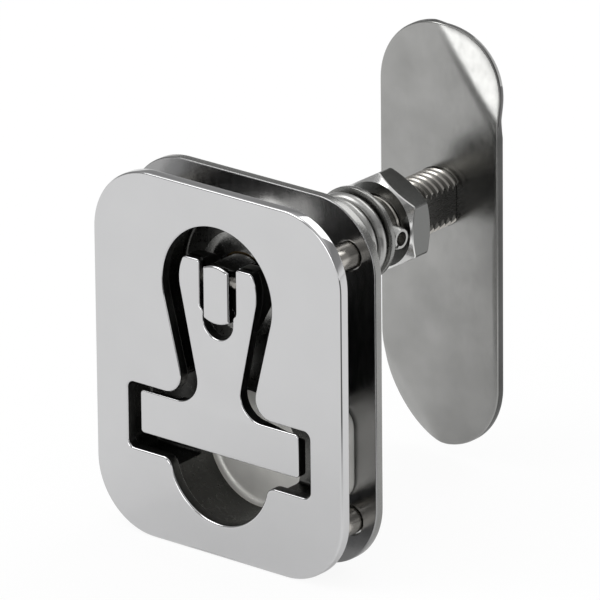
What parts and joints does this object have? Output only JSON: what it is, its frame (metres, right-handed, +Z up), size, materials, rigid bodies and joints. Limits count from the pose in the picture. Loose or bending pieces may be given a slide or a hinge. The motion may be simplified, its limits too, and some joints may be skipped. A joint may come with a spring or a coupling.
{
  "type": "compression latch",
  "caption": "Flush lift-and-turn compression latch: T-handle in a polished plate works a sprung threaded spindle with an adjustable latch arm behind a clamped panel.",
  "frame": {"origin": "centre of the four-stud pattern on the rear face of the back plate", "axes": "+X to the right seen from the handle side, +Y into the compartment along the spindle, +Z up"},
  "size_m": [0.061, 0.0794, 0.09],
  "materials": {
    "polished_steel": "mirror polished stainless sheet",
    "satin_steel": "satin stainless, as pressed",
    "turned_steel": "bright turned and threaded stainless bar",
    "spring_steel": "bright drawn spring wire",
    "bush_bronze": "plain machined bearing bronze",
    "seal_rubber": "matt black rubber"
  },
  "bodies": {
    "housing": {"face_plate": "polished_steel", "recess_pan": "satin_steel", "back_plate": "polished_steel", "stud_1": "turned_steel", "stud_2": "turned_steel", "stud_3": "turned_steel", "stud_4": "turned_steel", "guide_bush": "bush_bronze", "spindle_seal": "seal_rubber", "wear_washer": "satin_steel", "seat_washer": "satin_steel", "compression_spring": "spring_steel"},
    "thrust": {"end_washer": "satin_steel"},
    "spindle": {"spindle": "turned_steel", "cross_pin": "turned_steel", "roll_pin": "spring_steel", "front_nut": "satin_steel", "rear_nut": "satin_steel"},
    "arm": {"latch_arm": "satin_steel"},
    "handle": {"t_handle": "polished_steel"}
  },
  "joints": [
    {"name": "spindle_slide", "type": "slide", "parent": "housing", "child": "thrust", "axis": [0, 1, 0], "range_m": [0, 0.002], "deforming": ["compression_spring"]},
    {"name": "handle_turn", "type": "hinge", "parent": "thrust", "child": "spindle", "pos_m": [0, 0, 0.0165], "axis": [0, -1, 0], "range_deg": [0, 90]},
    {"name": "handle_lift", "type": "hinge", "parent": "spindle", "child": "handle", "pos_m": [0, -0.00985, 0.019], "axis": [-1, 0, 0], "range_deg": [0, 90]},
    {"name": "arm_slide", "type": "slide", "parent": "spindle", "child": "arm", "axis": [0, 1, 0], "range_m": [-0.0136, 0]}
  ],
  "couplings": [
    {"joint": "handle_lift", "follows": "spindle_slide", "rad_per_m": 785.4},
    {"joint": "handle_turn", "follows": "spindle_slide", "rad_per_m": 785.4}
  ]
}
